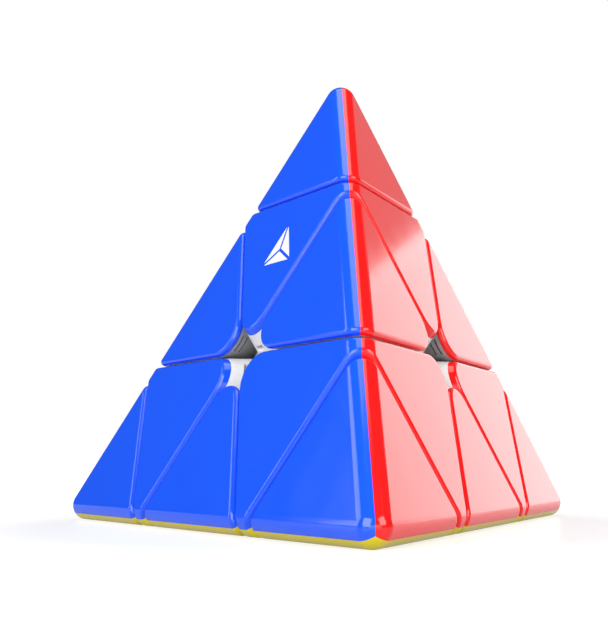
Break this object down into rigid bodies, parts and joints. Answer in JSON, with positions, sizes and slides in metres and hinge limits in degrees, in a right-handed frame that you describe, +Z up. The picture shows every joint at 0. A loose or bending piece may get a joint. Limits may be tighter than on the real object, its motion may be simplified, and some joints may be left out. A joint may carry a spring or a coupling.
{
  "type": "pyramid twisty puzzle",
  "caption": "Pyramid puzzle whose corners, tips and edges turn about the axes through its corners, with coloured caps on every face.",
  "frame": {"origin": "middle of the base face, on the surface it stands on", "axes": "+Z up through the top corner, -Y towards the front corner, +X to the right corner's side"},
  "size_m": [0.098, 0.0857, 0.081],
  "materials": {
    "cap_blue": "glossy",
    "cap_red": "glossy",
    "cap_yellow": "glossy",
    "cap_green": "glossy",
    "frame_plastic": "satin",
    "edge_plastic": "satin",
    "core_plastic": "matte",
    "screw_steel": "zinc plated",
    "spring_steel": "bright wire"
  },
  "bodies": {
    "core": {"core": "core_plastic", "axle_screws": "screw_steel", "screw_washers": "screw_steel", "tension_springs": "spring_steel"},
    "top_corner": {"top_corner_body": "frame_plastic", "top_corner_cap_green": "cap_green", "top_corner_cap_blue": "cap_blue", "top_corner_cap_red": "cap_red"},
    "top_tip": {"top_tip_body": "frame_plastic", "top_tip_cap_green": "cap_green", "top_tip_cap_blue": "cap_blue", "top_tip_cap_red": "cap_red"},
    "front_corner": {"front_corner_body": "frame_plastic", "front_corner_cap_yellow": "cap_yellow", "front_corner_cap_blue": "cap_blue", "front_corner_cap_red": "cap_red"},
    "front_tip": {"front_tip_body": "frame_plastic", "front_tip_cap_yellow": "cap_yellow", "front_tip_cap_blue": "cap_blue", "front_tip_cap_red": "cap_red"},
    "right_corner": {"right_corner_body": "frame_plastic", "right_corner_cap_yellow": "cap_yellow", "right_corner_cap_green": "cap_green", "right_corner_cap_red": "cap_red"},
    "right_tip": {"right_tip_body": "frame_plastic", "right_tip_cap_yellow": "cap_yellow", "right_tip_cap_green": "cap_green", "right_tip_cap_red": "cap_red"},
    "left_corner": {"left_corner_body": "frame_plastic", "left_corner_cap_yellow": "cap_yellow", "left_corner_cap_green": "cap_green", "left_corner_cap_blue": "cap_blue"},
    "left_tip": {"left_tip_body": "frame_plastic", "left_tip_cap_yellow": "cap_yellow", "left_tip_cap_green": "cap_green", "left_tip_cap_blue": "cap_blue"},
    "top_front_edge": {"top_front_edge_body": "edge_plastic", "top_front_edge_cap_blue": "cap_blue", "top_front_edge_cap_red": "cap_red"},
    "top_right_edge": {"top_right_edge_body": "edge_plastic", "top_right_edge_cap_green": "cap_green", "top_right_edge_cap_red": "cap_red"},
    "top_left_edge": {"top_left_edge_body": "edge_plastic", "top_left_edge_cap_green": "cap_green", "top_left_edge_cap_blue": "cap_blue"},
    "front_right_edge": {"front_right_edge_body": "edge_plastic", "front_right_edge_cap_yellow": "cap_yellow", "front_right_edge_cap_red": "cap_red"},
    "front_left_edge": {"front_left_edge_body": "edge_plastic", "front_left_edge_cap_yellow": "cap_yellow", "front_left_edge_cap_blue": "cap_blue"},
    "right_left_edge": {"right_left_edge_body": "edge_plastic", "right_left_edge_cap_yellow": "cap_yellow", "right_left_edge_cap_green": "cap_green"}
  },
  "joints": [
    {"name": "top_layer_turn", "type": "hinge", "parent": "core", "child": "top_corner", "pos_m": [0, 0, 0.02164], "axis": [0, 0, 1], "range_deg": [-240, 120]},
    {"name": "front_layer_turn", "type": "hinge", "parent": "core", "child": "front_corner", "pos_m": [0, 0, 0.02164], "axis": [0, -0.9428, -0.3333], "range_deg": [-240, 120]},
    {"name": "right_layer_turn", "type": "hinge", "parent": "core", "child": "right_corner", "pos_m": [0, 0, 0.02164], "axis": [0.8165, 0.4714, -0.3333], "range_deg": [-240, 120]},
    {"name": "left_layer_turn", "type": "hinge", "parent": "core", "child": "left_corner", "pos_m": [0, 0, 0.02164], "axis": [-0.8165, 0.4714, -0.3333], "range_deg": [-240, 120]},
    {"name": "top_tip_turn", "type": "hinge", "parent": "top_corner", "child": "top_tip", "pos_m": [0, 0, 0.02164], "axis": [0, 0, 1], "continuous": true},
    {"name": "front_tip_turn", "type": "hinge", "parent": "front_corner", "child": "front_tip", "pos_m": [0, 0, 0.02164], "axis": [0, -0.9428, -0.3333], "continuous": true},
    {"name": "right_tip_turn", "type": "hinge", "parent": "right_corner", "child": "right_tip", "pos_m": [0, 0, 0.02164], "axis": [0.8165, 0.4714, -0.3333], "continuous": true},
    {"name": "left_tip_turn", "type": "hinge", "parent": "left_corner", "child": "left_tip", "pos_m": [0, 0, 0.02164], "axis": [-0.8165, 0.4714, -0.3333], "continuous": true},
    {"name": "top_front_edge_turn", "type": "hinge", "parent": "top_corner", "child": "top_front_edge", "pos_m": [0, 0, 0.02164], "axis": [0, -0.9428, -0.3333], "range_deg": [-240, 120]},
    {"name": "top_right_edge_turn", "type": "hinge", "parent": "top_corner", "child": "top_right_edge", "pos_m": [0, 0, 0.02164], "axis": [0.8165, 0.4714, -0.3333], "range_deg": [-240, 120]},
    {"name": "top_left_edge_turn", "type": "hinge", "parent": "top_corner", "child": "top_left_edge", "pos_m": [0, 0, 0.02164], "axis": [-0.8165, 0.4714, -0.3333], "range_deg": [-240, 120]},
    {"name": "front_right_edge_turn", "type": "hinge", "parent": "front_corner", "child": "front_right_edge", "pos_m": [0, 0, 0.02164], "axis": [0.8165, 0.4714, -0.3333], "range_deg": [-240, 120]},
    {"name": "front_left_edge_turn", "type": "hinge", "parent": "left_corner", "child": "front_left_edge", "pos_m": [0, 0, 0.02164], "axis": [0, -0.9428, -0.3333], "range_deg": [-240, 120]},
    {"name": "right_left_edge_turn", "type": "hinge", "parent": "right_corner", "child": "right_left_edge", "pos_m": [0, 0, 0.02164], "axis": [-0.8165, 0.4714, -0.3333], "range_deg": [-240, 120]}
  ],
  "couplings": [
    {"joint": "top_front_edge_turn", "follows": "front_layer_turn", "ratio": 1},
    {"joint": "top_right_edge_turn", "follows": "right_layer_turn", "ratio": 1},
    {"joint": "top_left_edge_turn", "follows": "left_layer_turn", "ratio": 1},
    {"joint": "front_right_edge_turn", "follows": "right_layer_turn", "ratio": 1},
    {"joint": "front_left_edge_turn", "follows": "front_layer_turn", "ratio": 1},
    {"joint": "right_left_edge_turn", "follows": "left_layer_turn", "ratio": 1}
  ]
}
